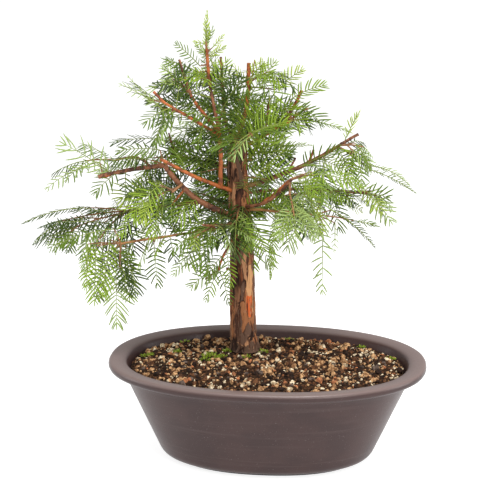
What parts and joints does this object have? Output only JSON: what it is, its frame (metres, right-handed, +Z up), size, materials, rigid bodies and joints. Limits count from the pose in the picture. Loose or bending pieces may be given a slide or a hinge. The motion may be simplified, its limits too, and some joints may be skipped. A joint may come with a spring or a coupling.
{
  "type": "dawn redwood bonsai",
  "caption": "Dawn redwood bonsai with a straight tapering trunk, spreading boughs and open sprays of soft needles, in an oval unglazed pot on a flat underside.",
  "frame": {"origin": "the middle of the pot's flat underside, on the surface that the pot stands on", "axes": "+X along the pot's long axis, to the right as the picture shows it; +Y to the back; +Z up"},
  "size_m": [0.3685, 0.2511, 0.3924],
  "materials": {
    "stoneware": "unglazed, satin",
    "soil": "coarse grains",
    "trunk_bark": "peeling bark",
    "bough_bark": "young bark",
    "foliage_dark": "soft needles",
    "foliage_mid": "soft needles",
    "foliage_new": "soft needles",
    "foliage_pale": "soft needles"
  },
  "bodies": {
    "root": {"bough_back_left": "bough_bark", "bough_back_low": "bough_bark", "bough_back_upper_left": "bough_bark", "bough_back_upper_right": "bough_bark", "bough_front_hanging": "bough_bark", "bough_front_high": "bough_bark", "bough_front_left": "bough_bark", "bough_front_low": "bough_bark", "bough_front_right": "bough_bark", "bough_left_back": "bough_bark", "bough_left_bright": "bough_bark", "bough_left_fern": "bough_bark", "bough_left_high": "bough_bark", "bough_left_leader": "bough_bark", "bough_left_long": "bough_bark", "bough_left_low": "bough_bark", "bough_left_main": "bough_bark", "bough_left_outer": "bough_bark", "bough_middle_leader": "bough_bark", "bough_right_back": "bough_bark", "bough_right_leader": "bough_bark", "bough_right_low": "bough_bark", "bough_right_main": "bough_bark", "bough_right_thin": "bough_bark", "bough_right_upper": "bough_bark", "bough_top_leader": "bough_bark", "bough_upper_left": "bough_bark", "bough_upper_side": "bough_bark", "foliage_back_left": "foliage_dark", "foliage_back_low": "foliage_dark", "foliage_back_upper_left": "foliage_mid", "foliage_back_upper_right": "foliage_mid", "foliage_front": "foliage_mid", "foliage_front_hanging": "foliage_pale", "foliage_front_high": "foliage_new", "foliage_front_left": "foliage_new", "foliage_front_low": "foliage_pale", "foliage_left_back": "foliage_dark", "foliage_left_bright": "foliage_new", "foliage_left_fern": "foliage_mid", "foliage_left_hanging": "foliage_mid", "foliage_left_inner": "foliage_mid", "foliage_left_low": "foliage_dark", "foliage_middle": "foliage_dark", "foliage_right_back": "foliage_dark", "foliage_right_crest": "foliage_mid", "foliage_right_inner": "foliage_new", "foliage_right_leader": "foliage_new", "foliage_right_low": "foliage_pale", "foliage_right_main": "foliage_mid", "foliage_right_thin": "foliage_pale", "foliage_right_upper": "foliage_mid", "foliage_top": "foliage_new", "foliage_upper_left": "foliage_dark", "foliage_upper_side": "foliage_mid", "pot": "stoneware", "soil": "soil", "trunk": "trunk_bark"}
  },
  "joints": []
}
